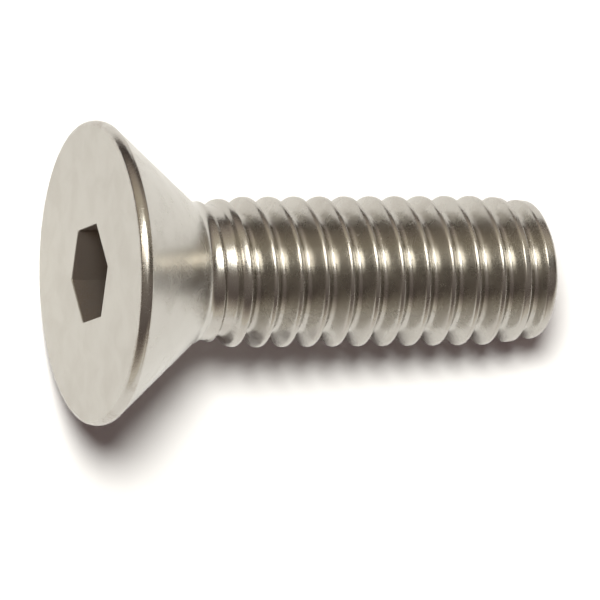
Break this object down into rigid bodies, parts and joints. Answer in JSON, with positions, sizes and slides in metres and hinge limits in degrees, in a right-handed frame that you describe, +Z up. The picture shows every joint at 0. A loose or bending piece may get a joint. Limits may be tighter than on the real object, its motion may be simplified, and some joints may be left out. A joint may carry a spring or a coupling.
{
  "type": "countersunk socket screw",
  "caption": "Countersunk socket screw with a wide flat conical head, a hex socket and a coarse rolled thread that runs from the head to the tip.",
  "frame": {"origin": "on the surface that the screw lies on, below the middle of its length and width", "axes": "+X along the screw from its head to its tip, seen from above; +Z up. The screw's own axis dips from head to tip by 10.09 degrees, because it lies on the rim of its head and on its last ridge"},
  "size_m": [0.0264, 0.0156, 0.0155],
  "materials": {
    "stainless": "plain stainless steel: satin turned head, bright rolled thread"
  },
  "bodies": {
    "root": {"socket_screw": "stainless"}
  },
  "joints": []
}
